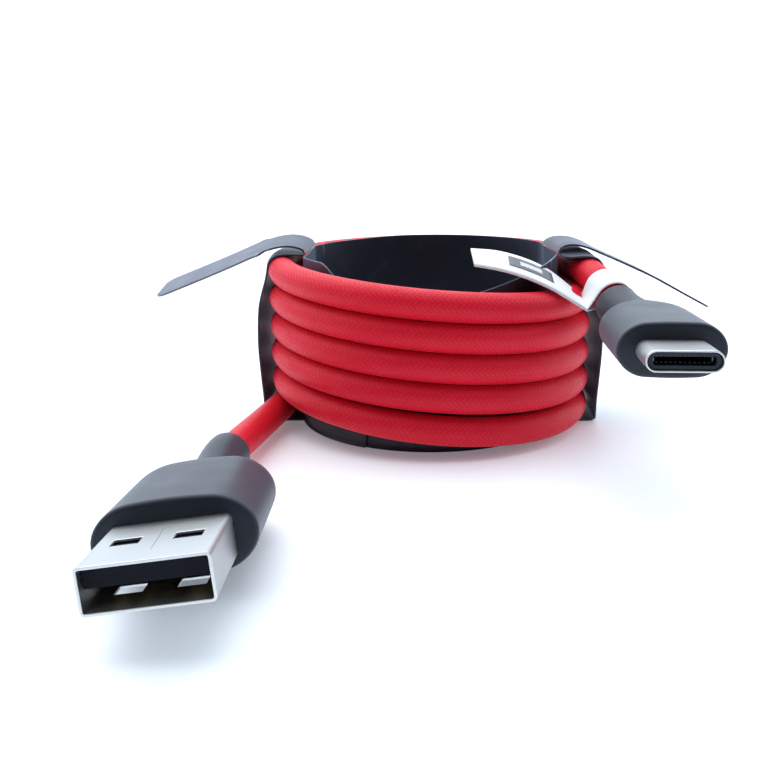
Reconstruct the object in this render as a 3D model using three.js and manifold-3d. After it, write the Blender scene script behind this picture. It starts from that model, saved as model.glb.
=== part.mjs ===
// A USB-A to USB-C charging cable, wound on a die-cut film holder, with a paper tag on the cord.
// Millimetres, +Z up. The origin is on the surface the holder stands on, at the axis of the coil.
// Both plugs point towards -Y and the holder's two tongues lie along -X and +X.
import * as THREE from "three";
import { mergeVertices } from "three/addons/utils/BufferGeometryUtils.js";
import Module from "manifold-3d";

const wasm = await Module();
wasm.setup();

// ---- Driving dimensions ----

const CORD_D = 4.35; // braided jacket
const COIL_R = 22.95; // centreline of every layer
const LAYER_RISE = 4.3; // one layer above the next
const LAYERS = 5; // full layers under the top half turn
const LOWEST = 2.6; // centreline height of the lowest layer
const FILM = 0.3; // holder film
const FILM_WIDTH = 10.5; // tongues and straps
const BAND_HEIGHT = 26.4;
const GAP = 0.3; // between neighbours that are free of each other
const FIT = 0.1; // between neighbours inside a plug

const CORD_R = CORD_D / 2;
const HIGHEST = LOWEST + LAYERS * LAYER_RISE;
const CORD_SIDES = 10;

// The stretches that aren't coiled, from the coil to each strain relief.
const ROUTE_A = [
  [-22.95, -0.5, 2.6],
  [-23.1, -3, 2.6],
  [-23.55, -6.5, 2.6],
  [-24.3, -11, 2.63],
  [-25.1, -16.5, 2.75],
  [-25.8, -22, 3.0],
  [-26.3, -27.5, 3.4],
  [-26.5, -31.6, 3.75],
];
const ROUTE_C = [
  [22.95, -0.5, 24.12],
  [23.15, -3, 24.14],
  [23.7, -6, 23.9],
  [24.5, -9, 23.3],
  [25.3, -12, 22.4],
  [25.95, -15, 21.4],
  [26.35, -17.3, 20.6],
];

// Each plug's frame has its origin at the middle of the mouth, +Y out of the mouth and +Z up.
const USB_A = {
  mouth: [-24.3, -76.76, 7.85],
  turn: { yaw: 183.1, pitch: 7.1, roll: 6.4 },
  shell: { w: 12, h: 4.5, wall: 0.3, corner: 0.5, length: 16 },
  seat: 12, // how far the shell stands out of the overmould
  body: { w: 16.1, h: 8, corner: 4, end: 30.6 },
  neck: { start: 3.1, end: 2.9 },
  pocket: { w: 12.3, h: 4.8, end: 24.6 },
  crimp: { start: 24.7, end: 28.3, outer: 2.75, inner: 2.35 },
};
const USB_C = {
  mouth: [26.85, -51.73, 21.17],
  turn: { yaw: 177.4, pitch: 3.2, roll: 0 },
  shell: { w: 8.25, h: 2.4, wall: 0.2, corner: 1.2, length: 10 },
  seat: 6.65,
  body: { w: 12.15, h: 6.44, corner: 3.22, end: 26 },
  neck: { start: 3.05, end: 2.9 },
  pocket: { w: 8.8, h: 3.9, end: 17.6 },
  crimp: { start: 17.8, end: 20.9, outer: 2.75, inner: 2.35 },
};
const BORE_R = 2.35; // through each strain relief
const JACKET_END_R = 2.1; // the cord inside the plug

// `place` is where the collar sits along the tail, from 0 at the coil to 1 at the relief.
const TAG = { width: 7, length: 19.5, paper: 0.25, collar: 2.5, hang: 0.6, tilt: 25, place: 0.75 };

// ---- Materials ----

const material = (color, roughness, metalness = 0) =>
  new THREE.MeshStandardMaterial({ color, roughness, metalness });
const braid = material(0xd0202f, 0.75);
const elastomer = material(0x3b3f49, 0.6);
const steel = material(0xd8dadc, 0.25, 1);
const gold = material(0xd9b35a, 0.3, 1);
const insulating = material(0x1c1e24, 0.45);
const film = material(0x16171c, 0.35);
const paper = material(0xf4f4f2, 0.8);
const premould = material(0xdcdcd2, 0.6);
const board = material(0x1d5a34, 0.5);
const chip = material(0x101010, 0.5);
const wireColours = {
  power: material(0xc0281e, 0.5),
  data_minus: material(0xe8e8e4, 0.5),
  data_plus: material(0x2f8a3c, 0.5),
  ground: material(0x17171a, 0.5),
};

// ---- Solids ----

const point = ([x, y, z]) => new THREE.Vector3(x, y, z);

function toManifold(geometry) {
  const bare = geometry.clone();
  bare.deleteAttribute("normal");
  bare.deleteAttribute("uv");
  const merged = mergeVertices(bare, 1e-5);
  return new wasm.Manifold(
    new wasm.Mesh({
      numProp: 3,
      vertProperties: new Float32Array(merged.attributes.position.array),
      triVerts: new Uint32Array(merged.index.array),
    }),
  );
}

function toGeometry(manifold) {
  const mesh = manifold.getMesh();
  return new THREE.BufferGeometry()
    .setAttribute("position", new THREE.BufferAttribute(mesh.vertProperties, 3))
    .setIndex(new THREE.BufferAttribute(mesh.triVerts, 1));
}

const cut = (body, ...tools) =>
  toGeometry(tools.reduce((left, tool) => left.subtract(toManifold(tool)), toManifold(body)));
const join = (...bodies) =>
  toGeometry(bodies.map(toManifold).reduce((left, right) => left.add(right)));

// A closed surface through rings of points that all have the same count, the first ring facing back.
function skin(rings, closed = false) {
  const count = rings[0].length;
  const vertices = rings.flat();
  const faces = [];
  const spans = closed ? rings.length : rings.length - 1;
  for (let i = 0; i < spans; i++) {
    const here = i * count;
    const next = ((i + 1) % rings.length) * count;
    for (let j = 0; j < count; j++) {
      const k = (j + 1) % count;
      faces.push(here + j, here + k, next + k, here + j, next + k, next + j);
    }
  }
  if (!closed) {
    for (const [start, order] of [[0, -1], [(rings.length - 1) * count, 1]]) {
      const middle = vertices.length;
      const ring = vertices.slice(start, start + count);
      vertices.push(ring.reduce((sum, p) => sum.add(p), new THREE.Vector3()).divideScalar(count));
      for (let j = 0; j < count; j++) {
        const k = (j + 1) % count;
        const edge = order > 0 ? [start + j, start + k] : [start + k, start + j];
        faces.push(middle, ...edge);
      }
    }
  }
  return new THREE.BufferGeometry().setFromPoints(vertices).setIndex(faces);
}

// A rounded rectangle's outline, anticlockwise, as [x, z] pairs; equal sides and a full corner make a circle.
function roundedOutline(w, h, corner, steps = 6) {
  const r = Math.min(corner, w / 2, h / 2);
  const outline = [];
  for (let quarter = 0; quarter < 4; quarter++) {
    const sx = quarter === 0 || quarter === 3 ? 1 : -1;
    const sz = quarter < 2 ? 1 : -1;
    for (let i = 0; i < steps; i++) {
      const angle = ((quarter + i / (steps - 1)) * Math.PI) / 2;
      outline.push([
        sx * (w / 2 - r) + r * Math.cos(angle),
        sz * (h / 2 - r) + r * Math.sin(angle),
      ]);
    }
  }
  return outline;
}

// A prism of a rounded rectangle along a plug's own axis, from `from` to `to` behind the mouth.
function plugPrism(w, h, corner, from, to, steps = 6) {
  const ring = (s) => roundedOutline(w, h, corner, steps).map(([x, z]) => new THREE.Vector3(x, -s, z));
  return skin([ring(from), ring(to)]);
}

function block(w, h, from, to, x = 0, z = 0) {
  return new THREE.BoxGeometry(w, to - from, h).translate(x, -(from + to) / 2, z);
}

function roundBar(radius, from, to, sides = 20) {
  return new THREE.CylinderGeometry(radius, radius, to - from, sides).translate(0, -(from + to) / 2, 0);
}

// A bar of round section along a curve.
function tubeAlong(curve, radius, steps, sides = CORD_SIDES) {
  const section = new THREE.Shape();
  for (let i = 0; i < sides; i++) {
    const angle = ((i + 0.5) * 2 * Math.PI) / sides;
    const place = [radius * Math.cos(angle), radius * Math.sin(angle)];
    if (i === 0) section.moveTo(...place);
    else section.lineTo(...place);
  }
  section.closePath();
  return new THREE.ExtrudeGeometry(section, { steps, extrudePath: curve, bevelEnabled: false });
}

// A strip of film. Stations give the middle of the strip, half its width along `across` and its surface normal.
function strip(stations, thickness) {
  const rings = stations.map(({ middle, across, normal, half }) => {
    const corner = (side, face) =>
      middle.clone().addScaledVector(across, side * half).addScaledVector(normal, (face * thickness) / 2);
    return [corner(-1, -1), corner(1, -1), corner(1, 1), corner(-1, 1)];
  });
  return skin(rings);
}

function named(name, geometry, look) {
  const mesh = new THREE.Mesh(geometry, look);
  mesh.name = name;
  geometry.computeVertexNormals();
  return mesh;
}

// ---- Cord ----

// How far a layer has dropped at an angle from the left side, seen from above and turning
// anticlockwise: the cord steps down one layer across the front and stays level behind.
function dropAt(degrees) {
  const turned = THREE.MathUtils.euclideanModulo(degrees - 180, 360);
  return turned < 180 ? (LAYER_RISE * (1 - Math.cos(THREE.MathUtils.degToRad(turned)))) / 2 : LAYER_RISE;
}

// The outer shape of the wound layers: its top follows the upper layer and its floor the lowest
// one, with a step where each tail leaves.
function coilSolid() {
  const capSteps = 5;
  const angles = [];
  for (let degrees = 0; degrees < 360; degrees += 5) angles.push(degrees);
  angles.splice(angles.indexOf(180), 1, 179.6, 180.4);
  angles.push(359.2);
  const rings = angles.map((degrees) => {
    const front = degrees > 180;
    const top = front ? HIGHEST - dropAt(degrees) - GAP : HIGHEST;
    const floor = front ? LOWEST + LAYER_RISE - dropAt(degrees) + GAP : LOWEST + GAP;
    const around = THREE.MathUtils.degToRad(degrees);
    const ring = [];
    for (const [level, start] of [[top, 0], [floor, 180]]) {
      for (let i = 0; i <= capSteps; i++) {
        const angle = THREE.MathUtils.degToRad(start + (180 * i) / capSteps);
        const r = COIL_R + CORD_R * Math.cos(angle);
        const z = level + CORD_R * Math.sin(angle);
        ring.push(new THREE.Vector3(r * Math.cos(around), r * Math.sin(around), z));
      }
    }
    return ring;
  });
  return skin(rings.reverse(), true);
}

const routeCurve = (route) => new THREE.CatmullRomCurve3(route.map(point));

function cord() {
  const group = new THREE.Group();
  group.add(
    named("cord_coil", coilSolid(), braid),
    named("cord_tail_a", tubeAlong(routeCurve(ROUTE_A), CORD_R, 12), braid),
    named("cord_tail_c", tubeAlong(routeCurve(ROUTE_C), CORD_R, 8), braid),
  );
  return group;
}

// ---- Plug shared by both ends ----

function plugGroup({ mouth, turn }) {
  const group = new THREE.Group();
  group.position.set(...mouth);
  const radians = ["pitch", "roll", "yaw"].map((name) => THREE.MathUtils.degToRad(turn[name]));
  group.rotation.set(...radians, "ZXY");
  group.updateMatrixWorld(true);
  return group;
}

// The strain relief's centreline in the plug's frame: straight out of the body, then bending to
// meet the cord, whose last two route points give the direction.
function reliefCurve(group, plug, route) {
  const last = point(route.at(-1));
  const inwards = last.clone().sub(point(route.at(-2))).normalize();
  const end = group.worldToLocal(last.clone().addScaledVector(inwards, GAP));
  const start = new THREE.Vector3(0, -plug.body.end, 0);
  const reach = end.distanceTo(start) / 3;
  const beforeEnd = group.worldToLocal(last.clone().addScaledVector(inwards, GAP + reach));
  const afterStart = new THREE.Vector3(0, -plug.body.end - reach, 0);
  return new THREE.CubicBezierCurve3(start, afterStart, beforeEnd, end);
}

// Rings of the overmould: a body with rounded ends that runs into a round strain relief.
function overmouldSolid(plug, curve) {
  const { w, h, corner, end } = plug.body;
  const neck = 2 * plug.neck.start;
  const blend = 4.6; // length over which the body rounds down to the neck
  const rings = [];
  const bodyRing = (s, width, height) =>
    rings.push(
      roundedOutline(width, height, Math.min(corner, height / 2)).map(([x, z]) => new THREE.Vector3(x, -s, z)),
    );
  bodyRing(plug.seat, w - 0.7, h - 0.7);
  bodyRing(plug.seat + 0.12, w - 0.25, h - 0.25);
  bodyRing(plug.seat + 0.4, w, h);
  for (let i = 0; i <= 6; i++) {
    const angle = (i / 6) * (Math.PI / 2);
    const shrink = 1 - Math.cos(angle);
    bodyRing(end - blend + blend * Math.sin(angle), w - (w - neck) * shrink, h - (h - neck) * shrink);
  }
  const steps = 8;
  for (let i = 1; i <= steps; i++) {
    const t = i / steps;
    const middle = curve.getPointAt(t);
    const along = curve.getTangentAt(t);
    const side = new THREE.Vector3(1, 0, 0).addScaledVector(along, -along.x).normalize();
    const up = along.clone().cross(side);
    const r = THREE.MathUtils.lerp(plug.neck.start, plug.neck.end, t);
    rings.push(
      roundedOutline(2 * r, 2 * r, r).map(([x, z]) =>
        middle.clone().addScaledVector(side, x).addScaledVector(up, z),
      ),
    );
  }
  return skin(rings);
}

// The curve that the bore and the cord's end follow, from behind the wires to the relief's mouth.
function boreCurve(curve, from, beyond) {
  const path = new THREE.CurvePath();
  const start = new THREE.Vector3(0, -from, 0);
  path.add(new THREE.LineCurve3(start, curve.v0.clone()));
  path.add(curve);
  if (beyond > 0) {
    const out = curve.getTangentAt(1).multiplyScalar(beyond);
    path.add(new THREE.LineCurve3(curve.v3.clone(), curve.v3.clone().add(out)));
  }
  const points = path.curves.flatMap((piece, i) => {
    const count = piece === curve ? 6 : 2;
    const places = Array.from({ length: count + 1 }, (_, k) => piece.getPointAt(k / count));
    return i === 0 ? places : places.slice(1);
  });
  return new THREE.CatmullRomCurve3(points);
}

// A tube-shaped sleeve with a rounded rectangular section.
function sleeve(outer, inner, from, to) {
  return cut(
    plugPrism(outer.w, outer.h, outer.corner, from, to),
    plugPrism(inner.w, inner.h, inner.corner, from - 1, to + 1),
  );
}

function wires(group, prefix, xs, from, to, z) {
  const names = Object.keys(wireColours);
  const together = 0.62; // half the spacing of the four cores inside the jacket
  names.forEach((name, i) => {
    const endX = (i % 2 ? 1 : -1) * together;
    const endZ = (i < 2 ? 1 : -1) * together;
    const curve = new THREE.CubicBezierCurve3(
      new THREE.Vector3(xs[i], -from, z),
      new THREE.Vector3(xs[i], -(from + (to - from) * 0.45), z),
      new THREE.Vector3(endX, -(from + (to - from) * 0.55), endZ),
      new THREE.Vector3(endX, -to, endZ),
    );
    group.add(named(`${prefix}_wire_${name}`, tubeAlong(curve, 0.4, 6, 6), wireColours[name]));
  });
}

// ---- USB-A plug ----

function usbA() {
  const plug = USB_A;
  const { shell, pocket, crimp } = plug;
  const group = plugGroup(plug);
  const curve = reliefCurve(group, plug, ROUTE_A);
  const half = shell.h / 2 - shell.wall;

  const overmould = cut(
    overmouldSolid(plug, curve),
    plugPrism(pocket.w, pocket.h, shell.corner + FIT, plug.seat - 1, pocket.end),
    roundBar(crimp.outer + FIT, pocket.end - 0.5, crimp.end + FIT),
    tubeAlong(boreCurve(curve, crimp.end - 0.5, 1), BORE_R, 14, 16),
  );
  group.add(named("usb_a_overmould", overmould, elastomer));

  // Two latch windows through the top wall and two through the bottom wall.
  const windows = [-1, 1].flatMap((side) =>
    [-1, 1].map((face) => block(2.5, 1, 5.1, 7.05, side * 2.95, (face * shell.h) / 2)),
  );
  const bareShell = sleeve(
    shell,
    { w: shell.w - 2 * shell.wall, h: 2 * half, corner: shell.corner - 0.2 },
    0,
    shell.length,
  );
  group.add(named("usb_a_shell", cut(bareShell, ...windows), steel));

  // The insulator fills the upper half of the shell, with a full-height block behind it that the
  // contacts pass through.
  const insulatorWidth = shell.w - 2 * shell.wall - 2 * FIT;
  const roof = half - FIT;
  const insulator = cut(
    join(
      block(insulatorWidth, roof, 0.9, 15.8, 0, roof / 2),
      block(insulatorWidth, 2 * roof, 13, 15.8),
    ),
    block(8.4, 0.45, 12, 17, 0, -0.225),
  );
  group.add(named("usb_a_insulator", insulator, insulating));

  const contactPlaces = [-3.5, -1, 1, 3.5];
  contactPlaces.forEach((x, i) => {
    const front = Math.abs(x) > 2 ? 1.9 : 2.9; // power and ground meet first
    const contact = block(1, 0.22, front, 18.4, x, -FIT - 0.11);
    group.add(named(`usb_a_contact_${i + 1}`, contact, gold));
  });

  const innerMould = sleeve(
    { w: pocket.w - 3 * FIT, h: pocket.h - 3 * FIT, corner: 0.5 },
    { w: 9.6, h: 2.4, corner: 0.3 },
    shell.length + GAP,
    pocket.end - 0.2,
  );
  group.add(named("usb_a_inner_mould", innerMould, premould));
  wires(group, "usb_a", contactPlaces, 18.6, 25.2, -0.25);
  endOfCord(group, "usb_a", crimp, curve);
  return group;
}

// The crimped collar and the end of the jacket inside it.
function endOfCord(group, prefix, crimp, curve) {
  const collar = cut(
    roundBar(crimp.outer, crimp.start, crimp.end),
    roundBar(crimp.inner, crimp.start - 1, crimp.end + 1),
  );
  const jacket = tubeAlong(boreCurve(curve, crimp.start + 0.8, 0), JACKET_END_R, 14);
  group.add(named(`${prefix}_crimp`, collar, steel), named(`${prefix}_cable_end`, jacket, braid));
}

// ---- USB-C plug ----

// Twelve beams side by side on one bar.
function contactComb() {
  const pitch = 0.5;
  const beam = 0.24;
  const tip = 1.4;
  const bar = { from: 6.7, to: 7.5, half: 2.87 };
  const outline = new THREE.Shape();
  outline.moveTo(-bar.half, -bar.to);
  outline.lineTo(-bar.half, -bar.from);
  for (let i = 0; i < 12; i++) {
    const x = (i - 5.5) * pitch;
    outline.lineTo(x - beam / 2, -bar.from);
    outline.lineTo(x - beam / 2, -tip);
    outline.lineTo(x + beam / 2, -tip);
    outline.lineTo(x + beam / 2, -bar.from);
  }
  outline.lineTo(bar.half, -bar.from);
  outline.lineTo(bar.half, -bar.to);
  outline.closePath();
  return new THREE.ExtrudeGeometry(outline, { depth: 0.12, bevelEnabled: false });
}

function usbC() {
  const plug = USB_C;
  const { shell, pocket, crimp } = plug;
  const group = plugGroup(plug);
  const curve = reliefCurve(group, plug, ROUTE_C);
  const inner = { w: shell.w - 2 * shell.wall, h: shell.h - 2 * shell.wall };

  const overmould = cut(
    overmouldSolid(plug, curve),
    plugPrism(shell.w + 2 * FIT, shell.h + 2 * FIT, shell.corner + FIT, plug.seat - 1, shell.length + 0.5),
    plugPrism(pocket.w, pocket.h, 1, shell.length + 0.1, pocket.end),
    roundBar(crimp.outer + FIT, pocket.end - 0.5, crimp.end + FIT),
    tubeAlong(boreCurve(curve, crimp.end - 0.5, 1), BORE_R, 14, 16),
  );
  group.add(named("usb_c_overmould", overmould, elastomer));
  group.add(named("usb_c_shell", sleeve(shell, { ...inner, corner: 1 }, 0, shell.length), steel));

  // The housing lines the shell; its sides are open where the latches spring outwards.
  const cavity = { w: 6.6, h: 1, corner: 0.3 };
  const lining = sleeve({ w: inner.w - 2 * FIT, h: inner.h - 2 * FIT, corner: 0.9 }, cavity, 0.35, 7.6);
  const sideSlots = [-1, 1].map((side) => block(0.5, 0.7, 1, 6.2, side * 3.4));
  group.add(named("usb_c_housing", cut(lining, ...sideSlots), insulating));

  const rows = { usb_c_contacts_upper: 0.28, usb_c_contacts_lower: -0.4 };
  for (const [name, z] of Object.entries(rows)) {
    group.add(named(name, contactComb().translate(0, 0, z), gold));
  }
  for (const [side, x] of [["left", -3.07], ["right", 3.07]]) {
    group.add(named(`usb_c_latch_${side}`, block(0.14, 0.44, 1.4, 6.9, x), steel));
  }

  const card = { w: 7.2, from: 7.9, to: 15 };
  group.add(
    named("usb_c_board", block(card.w, 0.7, card.from, card.to), board),
    named("usb_c_resistor", block(0.6, 0.3, 11.3, 12.3, 1.6, 0.6), chip),
  );
  const innerMould = sleeve(
    { w: pocket.w - 2 * FIT, h: pocket.h - 2 * FIT, corner: 1 },
    { w: 7.5, h: 2.2, corner: 0.3 },
    shell.length + GAP,
    pocket.end - 0.2,
  );
  group.add(named("usb_c_inner_mould", innerMould, premould));
  wires(group, "usb_c", [-2.7, -0.9, 0.9, 2.7], 15.2, 18.4, 0);
  endOfCord(group, "usb_c", crimp, curve);
  return group;
}

// ---- Holder ----

// The band's top edge drops away towards both of its lapped ends at the front.
function bandTopAt(degrees) {
  const outerEnd = THREE.MathUtils.smoothstep(degrees, 218, 243) * 5.2;
  const innerEnd = THREE.MathUtils.smoothstep(-degrees, 5, 125) * 6.4;
  return BAND_HEIGHT - outerEnd - innerEnd;
}

// A strip wound once round, with its ends lapped at the front, and a flap under each side of the coil.
function holderBand() {
  const sweep = { from: 243, to: -125 };
  const radius = { from: 20.3, to: 19.75 };
  const steps = 92;
  const rings = [];
  for (let i = 0; i <= steps; i++) {
    const t = i / steps;
    const degrees = THREE.MathUtils.lerp(sweep.from, sweep.to, t);
    const r = THREE.MathUtils.lerp(radius.from, radius.to, t);
    const around = THREE.MathUtils.degToRad(degrees);
    const corner = (radial, z) =>
      new THREE.Vector3((r + radial) * Math.cos(around), (r + radial) * Math.sin(around), z);
    const top = bandTopAt(degrees);
    rings.push([
      corner(-FILM / 2, 0),
      corner(FILM / 2, 0),
      corner(FILM / 2, top),
      corner(-FILM / 2, top),
    ]);
  }
  const flaps = [-1, 1].map((side) => {
    const inside = 19.75;
    const outside = 26.3;
    return new THREE.BoxGeometry(outside - inside, FILM_WIDTH, FILM).translate(
      (side * (inside + outside)) / 2,
      0,
      FILM / 2,
    );
  });
  return join(skin(rings), ...flaps);
}

// A strip that follows a profile in the XZ plane, turned half round for the left side. `halfWidthAt`
// takes the distance from the strip's end, and `twist` is the turn in degrees by its far end.
function profileStrip(profile, side, samples, halfWidthAt, twist = 0) {
  const curve = new THREE.CatmullRomCurve3(profile.map(([x, z]) => new THREE.Vector3(x, 0, z)), false, "centripetal");
  const length = curve.getLength();
  const stations = samples.map((t) => {
    const middle = curve.getPointAt(t);
    const along = curve.getTangentAt(t);
    const rotation = new THREE.Matrix4().makeRotationAxis(along, THREE.MathUtils.degToRad(twist * t));
    const across = new THREE.Vector3(0, 1, 0).applyMatrix4(rotation);
    const normal = along.clone().cross(across).normalize();
    return { middle, across, normal, half: halfWidthAt(length * (1 - t), length) };
  });
  const geometry = strip(stations, FILM);
  return side > 0 ? geometry : geometry.rotateZ(Math.PI);
}

const spread = (count) => Array.from({ length: count + 1 }, (_, i) => i / count);

// Folded out over the coil from the band's top edge: a narrow root, two barbs and a rounded end.
function tongue(side, profile, twist) {
  const barbAt = 17.6;
  const rounding = 2.2;
  const halfWidthAt = (fromEnd) => {
    const widest = fromEnd > barbAt + 0.9 ? FILM_WIDTH / 2 - 0.9 : FILM_WIDTH / 2;
    const barb = Math.abs(fromEnd - barbAt) < 0.9 ? 0.35 : 0;
    const inset = Math.max(0, rounding - fromEnd);
    return widest + barb - (rounding - Math.sqrt(rounding * rounding - inset * inset));
  };
  const ends = [0.965, 0.98, 0.99, 0.996, 0.9995];
  return profileStrip(profile, side, [...spread(28).filter((t) => t < 0.95), 0.95, ...ends], halfWidthAt, twist);
}

// Up the outside of the coil from the flap under it, and over the top as far as the band.
function strap(side) {
  const profile = [
    [26.2, 0.65],
    [26.35, 2.5],
    [26.75, 8],
    [26.8, 14],
    [26.45, 19.5],
    [26.2, 23.2],
    [25.9, 25.2],
    [24.95, 26.5],
    [23.3, 26.98],
    [20.95, 26.9],
  ];
  return profileStrip(profile, side, spread(22), () => FILM_WIDTH / 2);
}

function holder() {
  const leftTongue = [
    [20.1, 26.75],
    [20.45, 27.7],
    [21.7, 28.2],
    [23.3, 28.0],
    [25.6, 27.2],
    [34.2, 23.8],
    [42.83, 20.43],
  ];
  const rightTongue = [
    [20.1, 26.75],
    [20.45, 27.7],
    [21.7, 28.15],
    [23.4, 27.95],
    [25.7, 27.0],
    [34.3, 22.4],
    [42.97, 17.76],
  ];
  const group = new THREE.Group();
  group.add(
    named("holder_band", holderBand(), film),
    named("holder_left_tongue", tongue(-1, leftTongue, -8), film),
    named("holder_right_tongue", tongue(1, rightTongue, 0), film),
    named("holder_left_strap", strap(-1), film),
    named("holder_right_strap", strap(1), film),
  );
  return group;
}

// ---- Paper tag ----

// A collar round the cord and a flag that leaves it below the cord's middle, over the coil.
function paperTag() {
  const route = routeCurve(ROUTE_C);
  const middle = route.getPointAt(TAG.place);
  const along = route.getTangentAt(TAG.place);
  const outwards = new THREE.Vector3(-1, 0, 0).addScaledVector(along, along.x).normalize();
  const tilt = THREE.MathUtils.degToRad(-TAG.tilt);
  const flagWay = outwards.applyAxisAngle(along, tilt);
  const flagUp = along.clone().cross(flagWay).negate();
  const outer = TAG.collar + TAG.paper;
  const low = -TAG.hang - TAG.paper;
  const outline = new THREE.Shape();
  const start = Math.atan2(-TAG.hang, Math.sqrt(outer * outer - TAG.hang * TAG.hang));
  const finish = Math.atan2(low, Math.sqrt(outer * outer - low * low)) + 2 * Math.PI;
  outline.moveTo(TAG.length, low);
  outline.lineTo(TAG.length, -TAG.hang);
  const steps = 24;
  for (let i = 0; i <= steps; i++) {
    const angle = THREE.MathUtils.lerp(start, finish, i / steps);
    outline.lineTo(outer * Math.cos(angle), outer * Math.sin(angle));
  }
  outline.closePath();
  const opening = new THREE.Path();
  opening.absarc(0, 0, TAG.collar, 0, 2 * Math.PI, true);
  outline.holes.push(opening);
  const geometry = new THREE.ExtrudeGeometry(outline, {
    depth: TAG.width,
    bevelEnabled: false,
    curveSegments: 12,
  }).translate(0, 0, -TAG.width / 2);
  const basis = new THREE.Matrix4().makeBasis(flagWay, flagUp, flagWay.clone().cross(flagUp));
  geometry.applyMatrix4(basis.setPosition(middle));
  return named("paper_tag", geometry, paper);
}

// ---- Assembly ----

const cable = new THREE.Group();
cable.name = "charging_cable";
cable.add(cord(), usbA(), usbC(), holder(), paperTag());

export default cable;
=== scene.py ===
"""The looks of a braided USB-A to USB-C charging cable, wound on a die-cut film holder, with a paper tag.

Shapes are worked out in millimetres and made in metres, in the frame of the CAD model: +Z up, the origin
on the surface that the holder stands on, at the axis of the coil. Both plugs point towards -Y.
"""

import math

import bmesh
import bpy
import numpy as np
from mathutils import Matrix, Vector


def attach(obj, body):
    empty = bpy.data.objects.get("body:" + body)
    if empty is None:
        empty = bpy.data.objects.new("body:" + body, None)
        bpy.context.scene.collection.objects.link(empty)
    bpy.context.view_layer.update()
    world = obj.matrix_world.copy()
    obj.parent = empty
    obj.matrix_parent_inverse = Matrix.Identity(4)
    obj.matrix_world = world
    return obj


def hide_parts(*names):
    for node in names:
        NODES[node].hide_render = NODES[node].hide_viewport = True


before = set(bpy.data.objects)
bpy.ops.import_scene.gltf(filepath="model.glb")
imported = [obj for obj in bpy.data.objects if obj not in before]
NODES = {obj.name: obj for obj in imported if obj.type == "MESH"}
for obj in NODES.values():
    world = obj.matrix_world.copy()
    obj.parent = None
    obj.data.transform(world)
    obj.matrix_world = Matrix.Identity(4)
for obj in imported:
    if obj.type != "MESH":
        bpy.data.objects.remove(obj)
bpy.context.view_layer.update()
MM = 0.001

# ---- Driving dimensions, in millimetres ----

# They are the CAD model's, but both overmoulds and the tag's paper follow the photograph more closely.
CORD_D = 4.35
COIL_R = 22.95
LAYER_RISE = 4.3
LAYERS = 5
LOWEST = 2.6
FILM = 0.3
FILM_WIDTH = 10.5
FILM_EDGE = 0.06  # rounding of the film's cut edges
BAND_HEIGHT = 26.4
BAND_FROM, BAND_TO = 243, -125  # the strip's two ends, in degrees round from +X
GAP = 0.3  # between the cord's solids and each strain relief

# The stretches that aren't coiled, from the coil to each strain relief.
ROUTE_A = [
    [-22.95, -0.5, 2.6],
    [-23.1, -3, 2.6],
    [-23.55, -6.5, 2.6],
    [-24.3, -11, 2.63],
    [-25.1, -16.5, 2.75],
    [-25.8, -22, 3.0],
    [-26.3, -27.5, 3.4],
    [-26.5, -31.6, 3.75],
]
ROUTE_C = [
    [22.95, -0.5, 24.12],
    [23.15, -3, 24.14],
    [23.7, -6, 23.9],
    [24.5, -9, 23.3],
    [25.3, -12, 22.4],
    [25.95, -15, 21.4],
    [26.35, -17.3, 20.6],
]

# Each plug's frame has its origin at the middle of the mouth, +Y out of the mouth and +Z up. The body's end
# and shoulder, the seat and the ends of the two hollows, pocket and crimp, are distances behind the mouth.
# "further" is how much further back than the CAD model's the strain relief reaches.
USB_A = {
    "mouth": (-24.3, -76.76, 7.85),
    "turn": {"yaw": 183.1, "pitch": 7.1, "roll": 6.4},
    "shell": {"w": 12, "h": 4.5, "wall": 0.3, "corner": 0.5, "length": 16},
    "seat": 12,
    "body": {
        "w": 16.8, "h": 8.3, "corner": 4.15, "end": 30.6, "shoulder": (26.2, 35), "crown": 0.4, "lift": 0.3,
    },
    "neck": {"start": 3.1, "end": 2.95, "further": 0},
    "pocket": {"w": 12.3, "h": 4.8, "corner": 0.6, "end": 24.6},
    "crimp": {"outer": 2.85, "end": 28.4},
}
USB_C = {
    "mouth": (26.85, -51.73, 21.17),
    "turn": {"yaw": 177.4, "pitch": 3.2, "roll": 0},
    "shell": {"w": 8.25, "h": 2.4, "wall": 0.2, "corner": 1.2, "length": 10},
    "seat": 6.65,
    "body": {
        "w": 12.3, "h": 6.44, "corner": 3.22, "end": 26, "shoulder": (20, 28.8), "crown": 0.25, "lift": 0,
    },
    "neck": {"start": 3.05, "end": 2.95, "further": 0.9},
    "pocket": {"w": 8.8, "h": 3.9, "corner": 1, "end": 17.6},
    "crimp": {"outer": 2.85, "end": 21},
}
BORE_R = 2.3

TAG_PLACE = 0.75  # where the collar sits along the tail, from 0 at the coil to 1 at the relief
TAG_WIDTH = 7
TAG_PAPER = 0.15
TAG_COLUMNS = 9


# ---- Curves ----


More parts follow.
